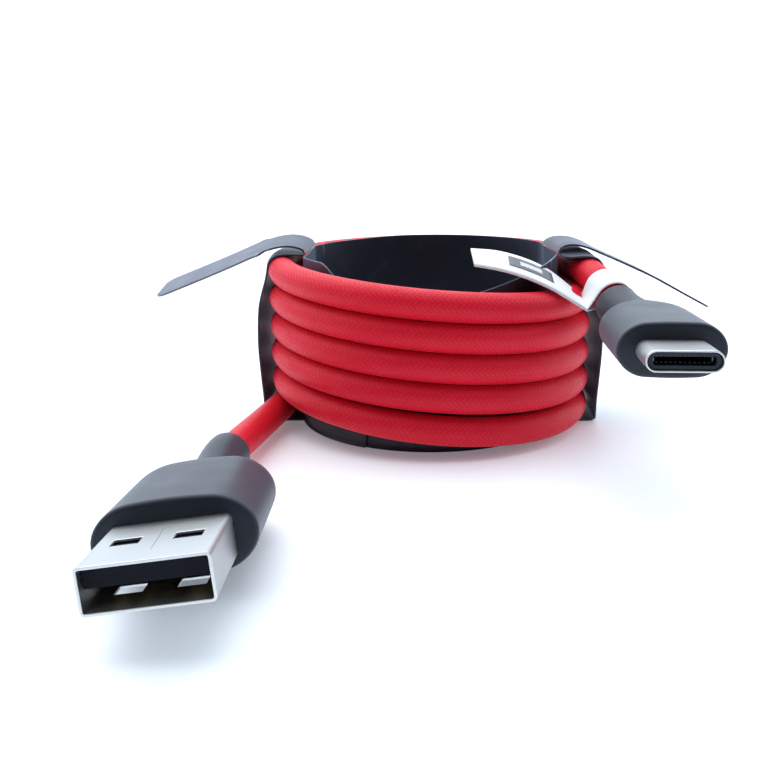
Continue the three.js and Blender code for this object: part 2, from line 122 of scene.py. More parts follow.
def catmull_rom(points, per_span=24):
    """Places along a centripetal Catmull-Rom curve through points, its ends continued straight."""
    points = [np.array(p, float) for p in points]
    padded = [2 * points[0] - points[1], *points, 2 * points[-1] - points[-2]]
    places = []
    for before, start, end, after in zip(padded, padded[1:], padded[2:], padded[3:]):
        gaps = [math.sqrt(np.linalg.norm(b - a)) for a, b in ((before, start), (start, end), (end, after))]
        slope_in = (start - before) / gaps[0] - (end - before) / (gaps[0] + gaps[1]) + (end - start) / gaps[1]
        slope_out = (end - start) / gaps[1] - (after - start) / (gaps[1] + gaps[2]) + (after - end) / gaps[2]
        slope_in, slope_out = slope_in * gaps[1], slope_out * gaps[1]
        for t in np.arange(per_span) / per_span:
            places.append(
                (2 * t**3 - 3 * t**2 + 1) * start
                + (t**3 - 2 * t**2 + t) * slope_in
                + (3 * t**2 - 2 * t**3) * end
                + (t**3 - t**2) * slope_out
            )
    return np.array([*places, points[-1]])


def bezier(controls, count):
    """Places along a cubic Bezier curve."""
    t = np.linspace(0, 1, count)[:, None]
    a, b, c, d = (np.array(p, float) for p in controls)
    return (1 - t) ** 3 * a + 3 * (1 - t) ** 2 * t * b + 3 * (1 - t) * t**2 * c + t**3 * d


def lengths_along(places):
    """Each place's distance from the first, measured along them."""
    steps = np.linalg.norm(np.diff(places, axis=0), axis=1)
    return np.concatenate([[0], np.cumsum(steps)])


def at_lengths(places, wanted):
    """The places at the wanted distances along a curve."""
    along = lengths_along(places)
    return np.stack([np.interp(wanted, along, places[:, axis]) for axis in range(3)], axis=1)


def evenly(places, step):
    """The same curve as places a step apart."""
    total = lengths_along(places)[-1]
    return at_lengths(places, np.linspace(0, total, round(total / step) + 1))


def tangents(places):
    along = np.gradient(places, axis=0)
    return along / np.linalg.norm(along, axis=1)[:, None]


def smoothstep(value, low, high):
    """From 0 at low to 1 at high, level at both."""
    t = min(max((value - low) / (high - low), 0), 1)
    return t * t * (3 - 2 * t)


def rounded_outline(w, h, corner, count=72):
    """A rounded rectangle's outline as (x, z) pairs evenly spaced along it, anticlockwise from +X."""
    r = min(corner, w / 2, h / 2)
    flat_x, flat_z, arc = w / 2 - r, h / 2 - r, math.pi * r / 2
    outline = []
    for i in range(count):
        quarter, place = divmod(i * 4 / count, 1)
        sx = 1 if quarter in (0, 3) else -1
        sz = 1 if quarter < 2 else -1
        if quarter % 2:
            place = 1 - place
        run = place * (flat_z + arc + flat_x)
        if run < flat_z:
            x, z = w / 2, run
        elif run < flat_z + arc:
            angle = (run - flat_z) / r
            x, z = flat_x + r * math.cos(angle), flat_z + r * math.sin(angle)
        else:
            x, z = flat_x - (run - flat_z - arc), h / 2
        outline.append((sx * x, sz * z))
    return np.array(outline)


# ---- Meshes ----


def make_piece(name, vertices, faces, material, body, replaces=(), uvs=None):
    """A mesh object from millimetre vertices, facing out, riding on a body."""
    mesh = bpy.data.meshes.new(name)
    mesh.from_pydata((np.asarray(vertices, float) * MM).tolist(), [], faces)
    if uvs is not None:
        layer = mesh.uv_layers.new(name="UVMap")
        layer.data.foreach_set("uv", np.asarray(uvs, np.float32).ravel())
    built = bmesh.new()
    built.from_mesh(mesh)
    bmesh.ops.recalc_face_normals(built, faces=built.faces)
    built.to_mesh(mesh)
    built.free()
    mesh.polygons.foreach_set("use_smooth", [True] * len(mesh.polygons))
    piece = bpy.data.objects.new(name, mesh)
    bpy.context.scene.collection.objects.link(piece)
    mesh.materials.append(material)
    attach(piece, body)
    if replaces:
        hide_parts(*replaces)
    return piece


def loft(rings, closed=False):
    """Vertices and faces of a skin through rings of equal count. Unless it is closed, each end has a cap."""
    count = len(rings[0])
    vertices = [tuple(p) for ring in rings for p in ring]
    faces = []
    for i in range(len(rings) if closed else len(rings) - 1):
        here, after = i * count, ((i + 1) % len(rings)) * count
        for j in range(count):
            k = (j + 1) % count
            faces.append((here + j, here + k, after + k, after + j))
    if not closed:
        faces.append(tuple(range(count)))
        faces.append(tuple(range((len(rings) - 1) * count, len(rings) * count)))
    return vertices, faces


def bevel(piece, width):
    """Rounds the edges where two faces meet at more than 40 degrees."""
    made = piece.modifiers.new("bevel", "BEVEL")
    made.width = width * MM
    made.segments = 2
    made.limit_method = "ANGLE"
    made.angle_limit = math.radians(40)
    made.harden_normals = True


# ---- Materials ----


class Finish:
    """A material built from nodes. Plain numbers go straight on the shader's own sockets."""

    def __init__(self, name, **sockets):
        self.material = bpy.data.materials.new(name)
        self.material.use_nodes = True
        self.tree = self.material.node_tree
        self.shader = next(n for n in self.tree.nodes if n.type == "BSDF_PRINCIPLED")
        for socket, value in sockets.items():
            self.shader.inputs[socket.replace("_", " ")].default_value = value

    def set(self, socket, source):
        if isinstance(source, bpy.types.NodeSocket):
            self.tree.links.new(source, socket)
        else:
            socket.default_value = source

    def node(self, kind, inputs=None, **properties):
        made = self.tree.nodes.new("ShaderNode" + kind)
        for key, value in properties.items():
            setattr(made, key, value)
        for key, value in (inputs or {}).items():
            self.set(made.inputs[key], value)
        return made

    def math(self, operation, a, b=0.0):
        return self.node("Math", {0: a, 1: b}, operation=operation).outputs[0]

    def ramp(self, factor, low, high, to_low, to_high):
        inputs = {"Value": factor, "From Min": low, "From Max": high, "To Min": to_low, "To Max": to_high}
        return self.node("MapRange", inputs, clamp=True).outputs["Result"]

    def mix(self, factor, a, b):
        made = self.node("Mix", data_type="RGBA")
        self.set(made.inputs["Factor"], factor)
        self.set(made.inputs[6], a)
        self.set(made.inputs[7], b)
        return made.outputs[2]

    def place(self):
        return self.node("TexCoord").outputs["Object"]

    def noise(self, scale, detail=3.0, roughness=0.55, vector=None):
        inputs = {"Vector": vector or self.place(), "Scale": scale, "Detail": detail, "Roughness": roughness}
        return self.node("TexNoise", inputs).outputs["Fac"]

    def stretched_noise(self, scale, stretch, detail=3.0):
        moved = self.node("Mapping", {"Vector": self.place(), "Scale": stretch}).outputs[0]
        return self.noise(scale, detail, vector=moved)

    def edge_mask(self, low=0.52, high=0.6):
        """How much a place sticks out, from 0 on a flat to 1 on an edge."""
        return self.ramp(self.node("NewGeometry").outputs["Pointiness"], low, high, 0.0, 1.0)

    def colour(self, source):
        self.set(self.shader.inputs["Base Color"], source)

    def roughness(self, source):
        self.set(self.shader.inputs["Roughness"], source)

    def bump(self, height, distance, strength=1.0):
        """Relief with its distance in millimetres, which is each finish's last step."""
        inputs = {"Height": height, "Distance": distance * MM, "Strength": strength}
        self.set(self.shader.inputs["Normal"], self.node("Bump", inputs).outputs["Normal"])
        return self.material


def braid_finish():
    """A tubular braid: two families of strands cross, each over two and under two."""
    strands = 20
    pitch = 0.72  # along the cord, from one crossing to the next
    # One family of strands is painted a little darker than the other: painted shade for the light that each
    # family catches from its own slant.
    thread, thread_across_shaded = (0.78, 0.005, 0.026, 1), (0.73, 0.004, 0.02, 1)
    # The darkest red is for the low places between the strands: painted shade in the hollows of the weave.
    rubbed, gap_shade = (0.84, 0.012, 0.045, 1), (0.6, 0.002, 0.016, 1)
    finish = Finish(
        "braid_red", Specular_IOR_Level=0.25,
        Sheen_Weight=0.14, Sheen_Roughness=0.35, Sheen_Tint=(1.0, 0.35, 0.42, 1),
    )
    uv = finish.node("UVMap", uv_map="UVMap").outputs[0]
    split = finish.node("SeparateXYZ", {0: uv})
    along = finish.math("DIVIDE", split.outputs[0], pitch)
    around = finish.math("MULTIPLY", split.outputs[1], strands)
    right = finish.math("ADD", along, around)
    left = finish.math("SUBTRACT", along, around)

    def strand(own, other, shift):
        """Whether this family of strands is on top here, and its height: rounded, arched and fibrous."""
        started = finish.math("ADD", finish.math("SUBTRACT", other, finish.math("FLOOR", own)), shift)
        float_place = finish.math("FLOORED_MODULO", started, 4.0)
        over = finish.math("LESS_THAN", float_place, 2.0)
        across = finish.math("FRACT", own)
        bulge = finish.math("PINGPONG", across, 0.5)
        round_height = finish.math("POWER", finish.math("MULTIPLY", bulge, 2.0), 0.5)
        arch = finish.math("SINE", finish.math("MULTIPLY", float_place, math.pi / 2))
        arched = finish.math("MULTIPLY_ADD", arch, 0.35)
        arched.node.inputs[2].default_value = 0.65
        fibres = finish.math("SINE", finish.math("MULTIPLY", across, 2 * math.pi * 5))
        height = finish.math("MULTIPLY", round_height, arched)
        threads = finish.math("MULTIPLY", fibres, 0.07)
        return over, finish.math("MULTIPLY", over, finish.math("ADD", height, threads))

    _, height_right = strand(right, left, 1.0)
    over_left, height_left = strand(left, right, -2.0)
    height = finish.math("ADD", height_right, height_left)
    fuzz = finish.noise(900.0, 3.0)
    patches = finish.noise(110.0, 2.0)
    raised = finish.ramp(height, 0.15, 0.75, 0.0, 1.0)
    # Painted shade: the strands of one family take the darker copy of the same red.
    threads = finish.mix(finish.math("MULTIPLY", over_left, 0.5), thread, thread_across_shaded)
    faded = finish.mix(finish.ramp(patches, 0.35, 0.7, 0.0, 0.45), threads, rubbed)
    # Painted shade: low places between the strands take the darkest red.
    finish.colour(finish.mix(raised, gap_shade, faded))
    finish.roughness(finish.ramp(finish.math("MULTIPLY", raised, fuzz), 0.1, 0.6, 0.62, 0.4))
    return finish.bump(finish.math("ADD", height, finish.math("MULTIPLY", fuzz, 0.25)), 0.03)


def elastomer_finish():
    """Matte slate thermoplastic with a fine spark-eroded grain and paler rubbed edges."""
    slate, slate_pale, rubbed = (0.008, 0.0105, 0.019, 1), (0.0115, 0.015, 0.026, 1), (0.047, 0.054, 0.072, 1)
    finish = Finish(
        "overmould_slate", Specular_IOR_Level=0.3,
        Sheen_Weight=0.17, Sheen_Roughness=0.5, Sheen_Tint=(0.72, 0.84, 1.0, 1),
    )
    grain = finish.noise(5200.0, 4.0, 0.6)
    clouds = finish.noise(160.0)
    base = finish.mix(finish.ramp(clouds, 0.3, 0.7, 0.0, 1.0), slate, slate_pale)
    finish.colour(finish.mix(finish.math("MULTIPLY", finish.edge_mask(), 0.35), base, rubbed))
    uneven = finish.math("ADD", finish.math("MULTIPLY", grain, 0.4), clouds)
    finish.roughness(finish.ramp(uneven, 0.4, 1.0, 0.38, 0.5))
    return finish.bump(grain, 0.012, 0.5)


def film_finish():
    """Die-cut plastic film with drawing lines along it, faint scuffs, and cut edges painted paler as a
    painted highlight for the light they catch.
    """
    base, scuff_and_edge_glint = (0.015, 0.016, 0.028, 1), (0.16, 0.165, 0.2, 1)
    scuffed = tuple(0.7 * a + 0.3 * b for a, b in zip(base, scuff_and_edge_glint))
    finish = Finish(
        "film_black", Specular_IOR_Level=0.4,
        Sheen_Weight=0.3, Sheen_Roughness=0.45, Sheen_Tint=(0.62, 0.7, 1.0, 1),
    )
    lines = finish.stretched_noise(90.0, (1.0, 14.0, 14.0))
    scuffs = finish.noise(260.0, 6.0, 0.7)
    marks = finish.ramp(scuffs, 0.58, 0.75, 0.0, 0.4)
    # Painted highlight: the cut edges take the pale colour, which the scuffs share in part.
    edge_glinted = finish.mix(finish.edge_mask(0.53, 0.62), base, scuff_and_edge_glint)
    finish.colour(finish.mix(marks, edge_glinted, scuffed))
    finish.roughness(finish.ramp(scuffs, 0.3, 0.75, 0.34, 0.5))
    return finish.bump(finish.math("ADD", lines, finish.math("MULTIPLY", scuffs, 0.4)), 0.02, 0.35)


def metal_finish(name, tone, roughness):
    """Plated sheet metal with a fine rolling grain and light smudges, dimmer at grazing angles."""
    finish = Finish(name, Metallic=1.0, Specular_Tint=(0.45, 0.46, 0.48, 1))
    grain = finish.stretched_noise(400.0, (30.0, 1.0, 30.0), 4.0)
    smudge = finish.noise(120.0)
    darker = tuple(0.93 * c for c in tone[:3]) + (1,)
    finish.colour(finish.mix(finish.ramp(smudge, 0.35, 0.7, 0.0, 0.6), tone, darker))
    finish.roughness(finish.ramp(finish.math("ADD", grain, smudge), 0.6, 1.4, roughness, roughness + 0.1))
    return finish.bump(grain, 0.002, 0.12)


def moulded_finish(name, base, roughness=0.4, specular=0.5):
    """Moulded engineering plastic with slight flow marks and grain."""
    finish = Finish(name, Specular_IOR_Level=specular)
    flow = finish.stretched_noise(170.0, (1.0, 3.0, 1.0), 2.0)
    grain = finish.noise(2700.0)
    lighter = tuple(min(1.0, 1.35 * c + 0.001) for c in base[:3]) + (1,)
    finish.colour(finish.mix(finish.ramp(flow, 0.3, 0.7, 0.0, 1.0), base, lighter))
    finish.roughness(finish.ramp(grain, 0.3, 0.7, roughness, roughness + 0.15))
    return finish.bump(grain, 0.01, 0.5)


def paper_finish():
    """Coated white paper with faint fibres and soft patches."""
    finish = Finish("tag_paper", Specular_IOR_Level=0.35)
    fibres = finish.stretched_noise(700.0, (1.0, 2.5, 1.0), 5.0)
    clouds = finish.ramp(finish.noise(150.0), 0.3, 0.75, 0.0, 1.0)
    finish.colour(finish.mix(clouds, (0.86, 0.87, 0.9, 1), (0.8, 0.81, 0.85, 1)))
    finish.roughness(finish.ramp(fibres, 0.3, 0.7, 0.55, 0.75))
    return finish.bump(fibres, 0.012, 0.4)


def print_finish(name, tone):
    """Halftone ink on paper."""
    finish = Finish(name, Specular_IOR_Level=0.4)
    speckle = finish.noise(3200.0, 2.0)
    lighter = tuple(min(1.0, 1.3 * c) for c in tone[:3]) + (1,)
    finish.colour(finish.mix(finish.ramp(speckle, 0.4, 0.65, 0.0, 1.0), tone, lighter))
    finish.roughness(finish.ramp(speckle, 0.3, 0.7, 0.45, 0.6))
    return finish.bump(speckle, 0.004, 0.3)


BRAID = braid_finish()
ELASTOMER = elastomer_finish()
FILM_BLACK = film_finish()
SHELL_METAL = metal_finish("plated_shell", (0.68, 0.69, 0.695, 1), 0.34)
CRIMP_METAL = metal_finish("crimp_metal", (0.72, 0.72, 0.7, 1), 0.3)
LATCH_METAL = metal_finish("latch_metal", (0.3, 0.31, 0.33, 1), 0.4)
DULL_CONTACT = metal_finish("contact_dull", (0.13, 0.125, 0.12, 1), 0.4)
GOLD = metal_finish("contact_gold", (0.83, 0.6, 0.25, 1), 0.22)
INSULATOR = moulded_finish("insulator_slate", (0.005, 0.006, 0.011, 1), 0.4, specular=0.1)
HOUSING = moulded_finish("housing_slate", (0.022, 0.026, 0.036, 1), 0.45, specular=0.2)
INNER_MOULD = moulded_finish("inner_mould", (0.68, 0.68, 0.62, 1), 0.5)
BOARD = moulded_finish("circuit_board", (0.012, 0.1, 0.04, 1), 0.4)
CHIP = moulded_finish("chip_black", (0.01, 0.01, 0.01, 1), 0.45)
BRAID_END = moulded_finish("braid_end", (0.5, 0.01, 0.02, 1), 0.6)
PAPER = paper_finish()
INK = print_finish("tag_ink", (0.13, 0.135, 0.15, 1))
INK_PALE = print_finish("tag_ink_pale", (0.6, 0.61, 0.64, 1))
SEAM_DARK = metal_finish("seam_shadow", (0.3, 0.31, 0.33, 1), 0.4)
WIRES = {
    "power": moulded_finish("wire_red", (0.5, 0.02, 0.015, 1)),
    "data_minus": moulded_finish("wire_white", (0.75, 0.75, 0.72, 1)),
    "data_plus": moulded_finish("wire_green", (0.02, 0.25, 0.06, 1)),
    "ground": moulded_finish("wire_black", (0.01, 0.01, 0.012, 1)),
}


# ---- The plugs' frames ----


def plug_matrix(plug):
    """The plug's rotation and the place of its mouth."""
    turn = {name: math.radians(degrees) for name, degrees in plug["turn"].items()}
    rotation = (
        Matrix.Rotation(turn["yaw"], 3, "Z")
        @ Matrix.Rotation(turn["pitch"], 3, "X")
        @ Matrix.Rotation(turn["roll"], 3, "Y")
    )
    return np.array(rotation), np.array(plug["mouth"], float)


def to_world(plug, places):
    """Places in the plug's frame as places in the scene's."""
    rotation, mouth = plug_matrix(plug)
    return np.asarray(places, float) @ rotation.T + mouth


def relief_line(plug, route):
    """The strain relief's centreline in the plug's frame, from the body's end to the relief's mouth."""
    rotation, mouth = plug_matrix(plug)
    last, before = np.array(route[-1], float), np.array(route[-2], float)
    inwards = (last - before) / np.linalg.norm(last - before)
    past_route = GAP - plug["neck"]["further"]
    end = (last + inwards * past_route - mouth) @ rotation
    start = np.array([0, -plug["body"]["end"], 0], float)
    reach = np.linalg.norm(end - start) / 3
    before_end = (last + inwards * (past_route + reach) - mouth) @ rotation
    return bezier([start, start - [0, reach, 0], before_end, end], 60)


# ---- Cord ----


def helix():
    """The wound turns from the left, lowest, to the right, highest: level behind, and climbing in front."""
    per_turn = 240
    late = 0.13  # how much of its climb the lowest layer puts off
    places = []
    for i in range(round((LAYERS + 0.5) * per_turn) + 1):
        turned = 360 * i / per_turn
        half, within = divmod(turned, 180)
        if half == 1:
            within = max(0, within * (1 + late) - late * 180)
        climb = LAYER_RISE * (1 - math.cos(math.radians(within))) / 2 if half % 2 else 0
        z = LOWEST + half // 2 * LAYER_RISE + climb
        angle = math.radians(180 - turned)
        places.append((COIL_R * math.cos(angle), COIL_R * math.sin(angle), z))
    return np.array(places)


def cord_line():
    """The cord's centreline from the USB-A relief's mouth to the USB-C relief's, and a little into each."""
    into, fine_step, tail_step, step = 2.0, 0.2, 0.3, 0.45

    def inside(plug, route):
        from_relief_mouth = to_world(plug, relief_line(plug, route))[::-1]
        return evenly(from_relief_mouth, fine_step)[: round(into / fine_step)]

    tail_a = catmull_rom(ROUTE_A)[::-1]
    tail_c = evenly(catmull_rom(ROUTE_C), tail_step)
    covered = math.ceil((USB_C["neck"]["further"] + tail_step) / tail_step)  # by the longer relief
    parts = [inside(USB_A, ROUTE_A)[::-1], tail_a, helix(), tail_c[:-covered], inside(USB_C, ROUTE_C)]
    return evenly(np.concatenate(parts), step)


def cord():
    """The whole cord as one tube, slightly oval where its layers press on each other."""
    sides = 48
    bulge, clearance = 0.02, 0.012
    half_wide, half_high = CORD_D / 2 + bulge, LAYER_RISE / 2 - clearance
    line = cord_line()
    along = tangents(line)
    side = np.cross(along, [0, 0, 1])
    side /= np.linalg.norm(side, axis=1)[:, None]
    up = np.cross(side, along)
    angles = np.arange(sides) * 2 * math.pi / sides
    offsets = (
        np.cos(angles)[None, :, None] * half_wide * side[:, None, :]
        + np.sin(angles)[None, :, None] * half_high * up[:, None, :]
    )
    vertices, faces = loft(line[:, None, :] + offsets)
    lengths = lengths_along(line)
    uvs = []
    for here, after in zip(lengths, lengths[1:]):
        for j in range(sides):
            first, second = j / sides, (j + 1) / sides
            uvs += [(here, first), (here, second), (after, second), (after, first)]
    for end in (0, -1):
        uvs += [(lengths[end], j / sides) for j in range(sides)]
    piece = make_piece(
        "braided_cord", vertices, faces, BRAID, "cable",
        ["cord_coil", "cord_tail_a", "cord_tail_c"], uvs,
    )
    return piece, line


# ---- Overmoulds ----


def section_at(plug, behind):
    """The overmould's width and height at a distance behind the mouth: convex, then concave at the neck."""
    w, h = plug["body"]["w"], plug["body"]["h"]
    start, finish = plug["body"]["shoulder"]
    neck = 2 * plug["neck"]["start"]
    past_shoulder = min(max((behind - start) / (finish - start), 0), 1)
    share = (1 - past_shoulder**3.2) ** 1.5
    return neck + (w - neck) * share, neck + (h - neck) * share


def crowned_outline(w, h, corner, crown):
    """A rounded rectangle whose flat sides swell slightly towards an ellipse."""
    outline = rounded_outline(w, h, corner)
    angles = np.arctan2(outline[:, 1] / h, outline[:, 0] / w)
    ellipse = np.stack([w / 2 * np.cos(angles), h / 2 * np.sin(angles)], axis=1)
    return outline * (1 - crown) + ellipse * crown


def overmould(name, plug, route, node):
    """One closed skin: from the front face along the outside to the relief, and back through the inside."""
    body, shell, pocket, crimp, seat = (plug[key] for key in ("body", "shell", "pocket", "crimp", "seat"))
    rounding = 0.5  # round the front face
    lip = 0.22  # rounding round the relief's mouth
    fit = 0.02  # round the shell
    slack = 0.3  # behind the shell and the crimp
    ledge = 0.15  # from the shell's end of the pocket to its wide part
    rings = []

    def raised(height):
        """How far above the plug's axis a section's middle lies: the body sits high on its neck."""
        neck = 2 * plug["neck"]["start"]
        return body["lift"] * max(0.0, (height - neck) / (body["h"] - neck))

    def crown_of(width, height):
        """The body's crown, fading as the section becomes round."""
        return body["crown"] * (width / height - 1) / (body["w"] / body["h"] - 1)

    def flat_ring(behind, width, height, corner, crown=0.0):
        x, z = crowned_outline(width, height, corner, crown).T
        rings.append(np.stack([x, np.full(len(x), -behind), z + raised(height)], axis=1))

    def round_ring(behind, radius):
        flat_ring(behind, 2 * radius, 2 * radius, radius)

    def bent_ring(middle, way, width, height, crown=0.0):
        across = np.array([1.0, 0, 0]) - way * way[0]
        across /= np.linalg.norm(across)
        up = np.cross(way, across)
        outline = crowned_outline(width, height, height / 2, crown)
        rings.append(middle + outline[:, :1] * across + (outline[:, 1:] + raised(height)) * up)

    inner_w, inner_h = shell["w"] + 2 * fit, shell["h"] + 2 * fit
    for share in (0, 0.05, 0.3, 0.65, 1):
        width = inner_w + (body["w"] - 2 * rounding - inner_w) * share
        height = inner_h + (body["h"] - 2 * rounding - inner_h) * share
        corner = shell["corner"] + (height / 2 - shell["corner"]) * min(1, 1.4 * share)
        flat_ring(seat, width, height, corner, body["crown"] * share)
    for angle in np.linspace(0, math.pi / 2, 9)[1:]:
        inset = 2 * rounding * (1 - math.sin(angle))
        width, height = body["w"] - inset, body["h"] - inset
        flat_ring(seat + rounding * (1 - math.cos(angle)), width, height, height / 2, body["crown"])
    for behind in np.linspace(seat + rounding + 0.6, body["shoulder"][0], 12):
        flat_ring(behind, body["w"], body["h"], body["corner"], body["crown"])
    for behind in np.linspace(body["shoulder"][0], body["end"], 34)[1:]:
        width, height = section_at(plug, behind)
        flat_ring(behind, width, height, height / 2, crown_of(width, height))
    line = relief_line(plug, route)
    ways, along = tangents(line), lengths_along(line)
    thinner = 2 * (plug["neck"]["start"] - plug["neck"]["end"])
    for middle, way, run in zip(line[1:], ways[1:], along[1:]):
        width, height = section_at(plug, body["end"] + run)
        taper = thinner * run / along[-1]
        bent_ring(middle, way, width - taper, height - taper, crown_of(width, height))
    for angle in np.radians([30, 60, 90]):
        across = 2 * (plug["neck"]["end"] - lip * (1 - math.cos(angle)))
        bent_ring(line[-1] + ways[-1] * lip * math.sin(angle), ways[-1], across, across)
    for middle, way in zip(line[:1:-1], ways[:1:-1]):
        bent_ring(middle, way, 2 * BORE_R, 2 * BORE_R)
    round_ring(crimp["end"] + slack, BORE_R)
    round_ring(crimp["end"], crimp["outer"])
    round_ring(pocket["end"] + 0.05, crimp["outer"])
    flat_ring(pocket["end"], pocket["w"], pocket["h"], pocket["corner"])
    flat_ring(shell["length"] + slack + ledge, pocket["w"], pocket["h"], pocket["corner"])
    flat_ring(shell["length"] + slack, inner_w, inner_h, shell["corner"])
    vertices, faces = loft([to_world(plug, ring) for ring in rings], closed=True)
    make_piece(name, vertices, faces, ELASTOMER, "cable", [node])


# ---- Metal shells ----


def unrolled_outline(shell, marks):
    """The shell's outline as (x, z) pairs, with one at each mark across its top and bottom walls."""
    half_w, half_h, r = shell["w"] / 2, shell["h"] / 2, shell["corner"]
    arc_steps = 6
    across = sorted(sign * mark for mark in marks for sign in (-1, 1))
    outline = []
    for quarter in range(4):
        sx = 1 if quarter in (0, 3) else -1
        sz = 1 if quarter < 2 else -1
        for i in range(arc_steps + 1):
            angle = math.radians(90 * (quarter + i / arc_steps))
            outline.append((sx * (half_w - r) + r * math.cos(angle), sz * (half_h - r) + r * math.sin(angle)))
        if quarter == 0:
            outline += [(x, half_h) for x in reversed(across)]
        if quarter == 2:
            outline += [(x, -half_h) for x in across]
        if quarter in (1, 3):
            outline += [(sx * half_w, -sz * (half_h - r) * share) for share in (-0.4, 0.4)]
    return outline


def usb_a_shell():
    """A bent and butted sheet with two latch windows through its top and two through its bottom."""
    plug, shell = USB_A, USB_A["shell"]
    windows = {1: (5.4, 7.3), -1: (4.3, 6.5)}  # behind the mouth, in the top wall and in the bottom one
    inner, outer = 1.6, 4.25  # from the middle
    outline = unrolled_outline(shell, (0.8, inner, outer, 4.9))
    stations = sorted({0, 0.5, 2, 3.2, *windows[1], *windows[-1], 9, 12, shell["length"]})
    vertices = [(x, -behind, z) for behind in stations for x, z in outline]
    faces = []
    count = len(outline)
    for i, (start, end) in enumerate(zip(stations, stations[1:])):
        for j in range(count):
            k = (j + 1) % count
            (x0, z0), (x1, z1) = outline[j], outline[k]
            middle_x, middle_z = abs(x0 + x1) / 2, (z0 + z1) / 2
            face = 1 if middle_z > 0 else -1
            on_wall = abs(abs(middle_z) - shell["h"] / 2) < 1e-6
            near, far = windows[face]
            in_window = inner < middle_x < outer and near <= start and end <= far
            if not (on_wall and in_window):
                faces.append((i * count + j, i * count + k, (i + 1) * count + k, (i + 1) * count + j))
    piece = make_piece(
        "usb_a_shell_plated", to_world(plug, vertices), faces,
        SHELL_METAL, "cable", ["usb_a_shell"],
    )
    outwards(piece, plug)
    thick = piece.modifiers.new("sheet", "SOLIDIFY")
    thick.thickness = shell["wall"] * MM
    thick.offset = -1
    thick.use_even_offset = True
    bevel(piece, 0.07)


def outwards(piece, plug):
    """Turns an open sleeve's faces away from the plug's axis, where a closed-surface test can't tell."""
    rotation, mouth = plug_matrix(plug)
    mesh = piece.data
    vote = 0.0
    for polygon in mesh.polygons:
        local = (np.array(polygon.center) / MM - mouth) @ rotation
        normal = np.array(polygon.normal) @ rotation
        vote += polygon.area * (normal[0] * local[0] + normal[2] * local[2])
    if vote < 0:
        mesh.flip_normals()


def usb_c_shell():
    """A seamless drawn sleeve with a rolled lip at its mouth."""
    plug, shell = USB_C, USB_C["shell"]
    lip = 0.1
    rings = []

    def ring(behind, inset):
        w, h = shell["w"] - 2 * inset, shell["h"] - 2 * inset
        x, z = rounded_outline(w, h, shell["corner"] - inset, 64).T
        rings.append(to_world(plug, np.stack([x, np.full(len(x), -behind), z], axis=1)))

    for angle in np.linspace(0, math.pi, 9):
        ring(lip - lip * math.sin(angle), lip + lip * math.cos(angle))
    for behind in (0.6, 3, plug["seat"], shell["length"]):
        ring(behind, 0.0)
    for behind in (shell["length"], 6, 2, 0.6):
        ring(behind, shell["wall"])
    vertices, faces = loft(rings, closed=True)
    make_piece("usb_c_shell_plated", vertices, faces, SHELL_METAL, "cable", ["usb_c_shell"])


def shell_seam():
    """The butt joint of the rectangular shell, with its hook, as a dark hair-wide ridge on the top wall."""
    top = USB_A["shell"]["h"] / 2 + 0.012
    half, narrower = 0.045, 0.6
    sunk = np.array([0, 0, 0.03])
    line = [(-0.75, 9.2), (-0.05, 9.2), (0.12, 9.05), (0.05, 8.6), (-0.1, 5.6), (-0.16, 3.0)]
    places = catmull_rom([(x, -behind, top) for x, behind in line], 8)
    rings = []
    for middle, way in zip(places, tangents(places)):
        across = half * np.cross(way, [0, 0, 1])
        foot, ridge = middle - sunk, narrower * across
        rings.append(to_world(USB_A, [foot - across, foot + across, middle + ridge, middle - ridge]))
    vertices, faces = loft(rings)
    make_piece("usb_a_shell_seam", vertices, faces, SEAM_DARK, "cable")


# ---- Holder ----


def sheet_solid(grid, thickness):
    """A closed sheet from a grid of (middle, normal), rows along it and columns across it."""
    rows, columns = len(grid), len(grid[0])
    vertices = []
    for side in (1, -1):
        for row in grid:
            for middle, normal in row:
                vertices.append(np.asarray(middle) + side * thickness / 2 * np.asarray(normal))
    layer = rows * columns
    faces = []
    for i in range(rows - 1):
        for j in range(columns - 1):
            a, b = i * columns + j, i * columns + j + 1
            c, d = b + columns, a + columns
            faces += [(a, b, c, d), (layer + d, layer + c, layer + b, layer + a)]
    rim = [i * columns for i in range(rows)]
    rim += [(rows - 1) * columns + j for j in range(1, columns)]
    rim += [i * columns + columns - 1 for i in range(rows - 2, -1, -1)]
    rim += list(range(columns - 2, 0, -1))
    for a, b in zip(rim, rim[1:] + rim[:1]):
        faces.append((a, b, layer + b, layer + a))
    return vertices, faces


def corner_cut(from_end, radius):
    """How much a round corner takes off a strip's edge at a distance from the strip's end."""
    inset = max(0.0, radius - from_end)
    return radius - math.sqrt(max(0.0, radius**2 - inset**2))


def band_top(degrees):
    """The band's height at a place round it: both ends are cut down, and the rear stands a hair higher."""
    outer_end = smoothstep(degrees, 218, BAND_FROM) * 5.2
    inner_end = smoothstep(-degrees, 5, -BAND_TO) * 6.4
    rear_rise = (1 - smoothstep(abs(degrees - 65), 38, 64)) * 0.22
    return BAND_HEIGHT - outer_end - inner_end + rear_rise


def band_place(way, radius, z):
    """A place on the band: its foot flares, and its top is drawn flat where each tongue is folded from it."""
    flare, foot = 0.4, 0.8
    place = way * (radius + flare * max(0.0, 1 - z / foot) ** 2) + np.array([0, 0, z])
    side = math.copysign(1, place[0])
    flat_at = 18.75 if side < 0 else 19.05 - 0.12 * place[1]  # from the coil's axis, the right one turned
    flatness = (1 - smoothstep(abs(place[1]), 3.5, 11)) * smoothstep(z, 12, 25.5)
    if abs(place[0]) > flat_at:
        place[0] += side * (flat_at - abs(place[0])) * flatness
    return place


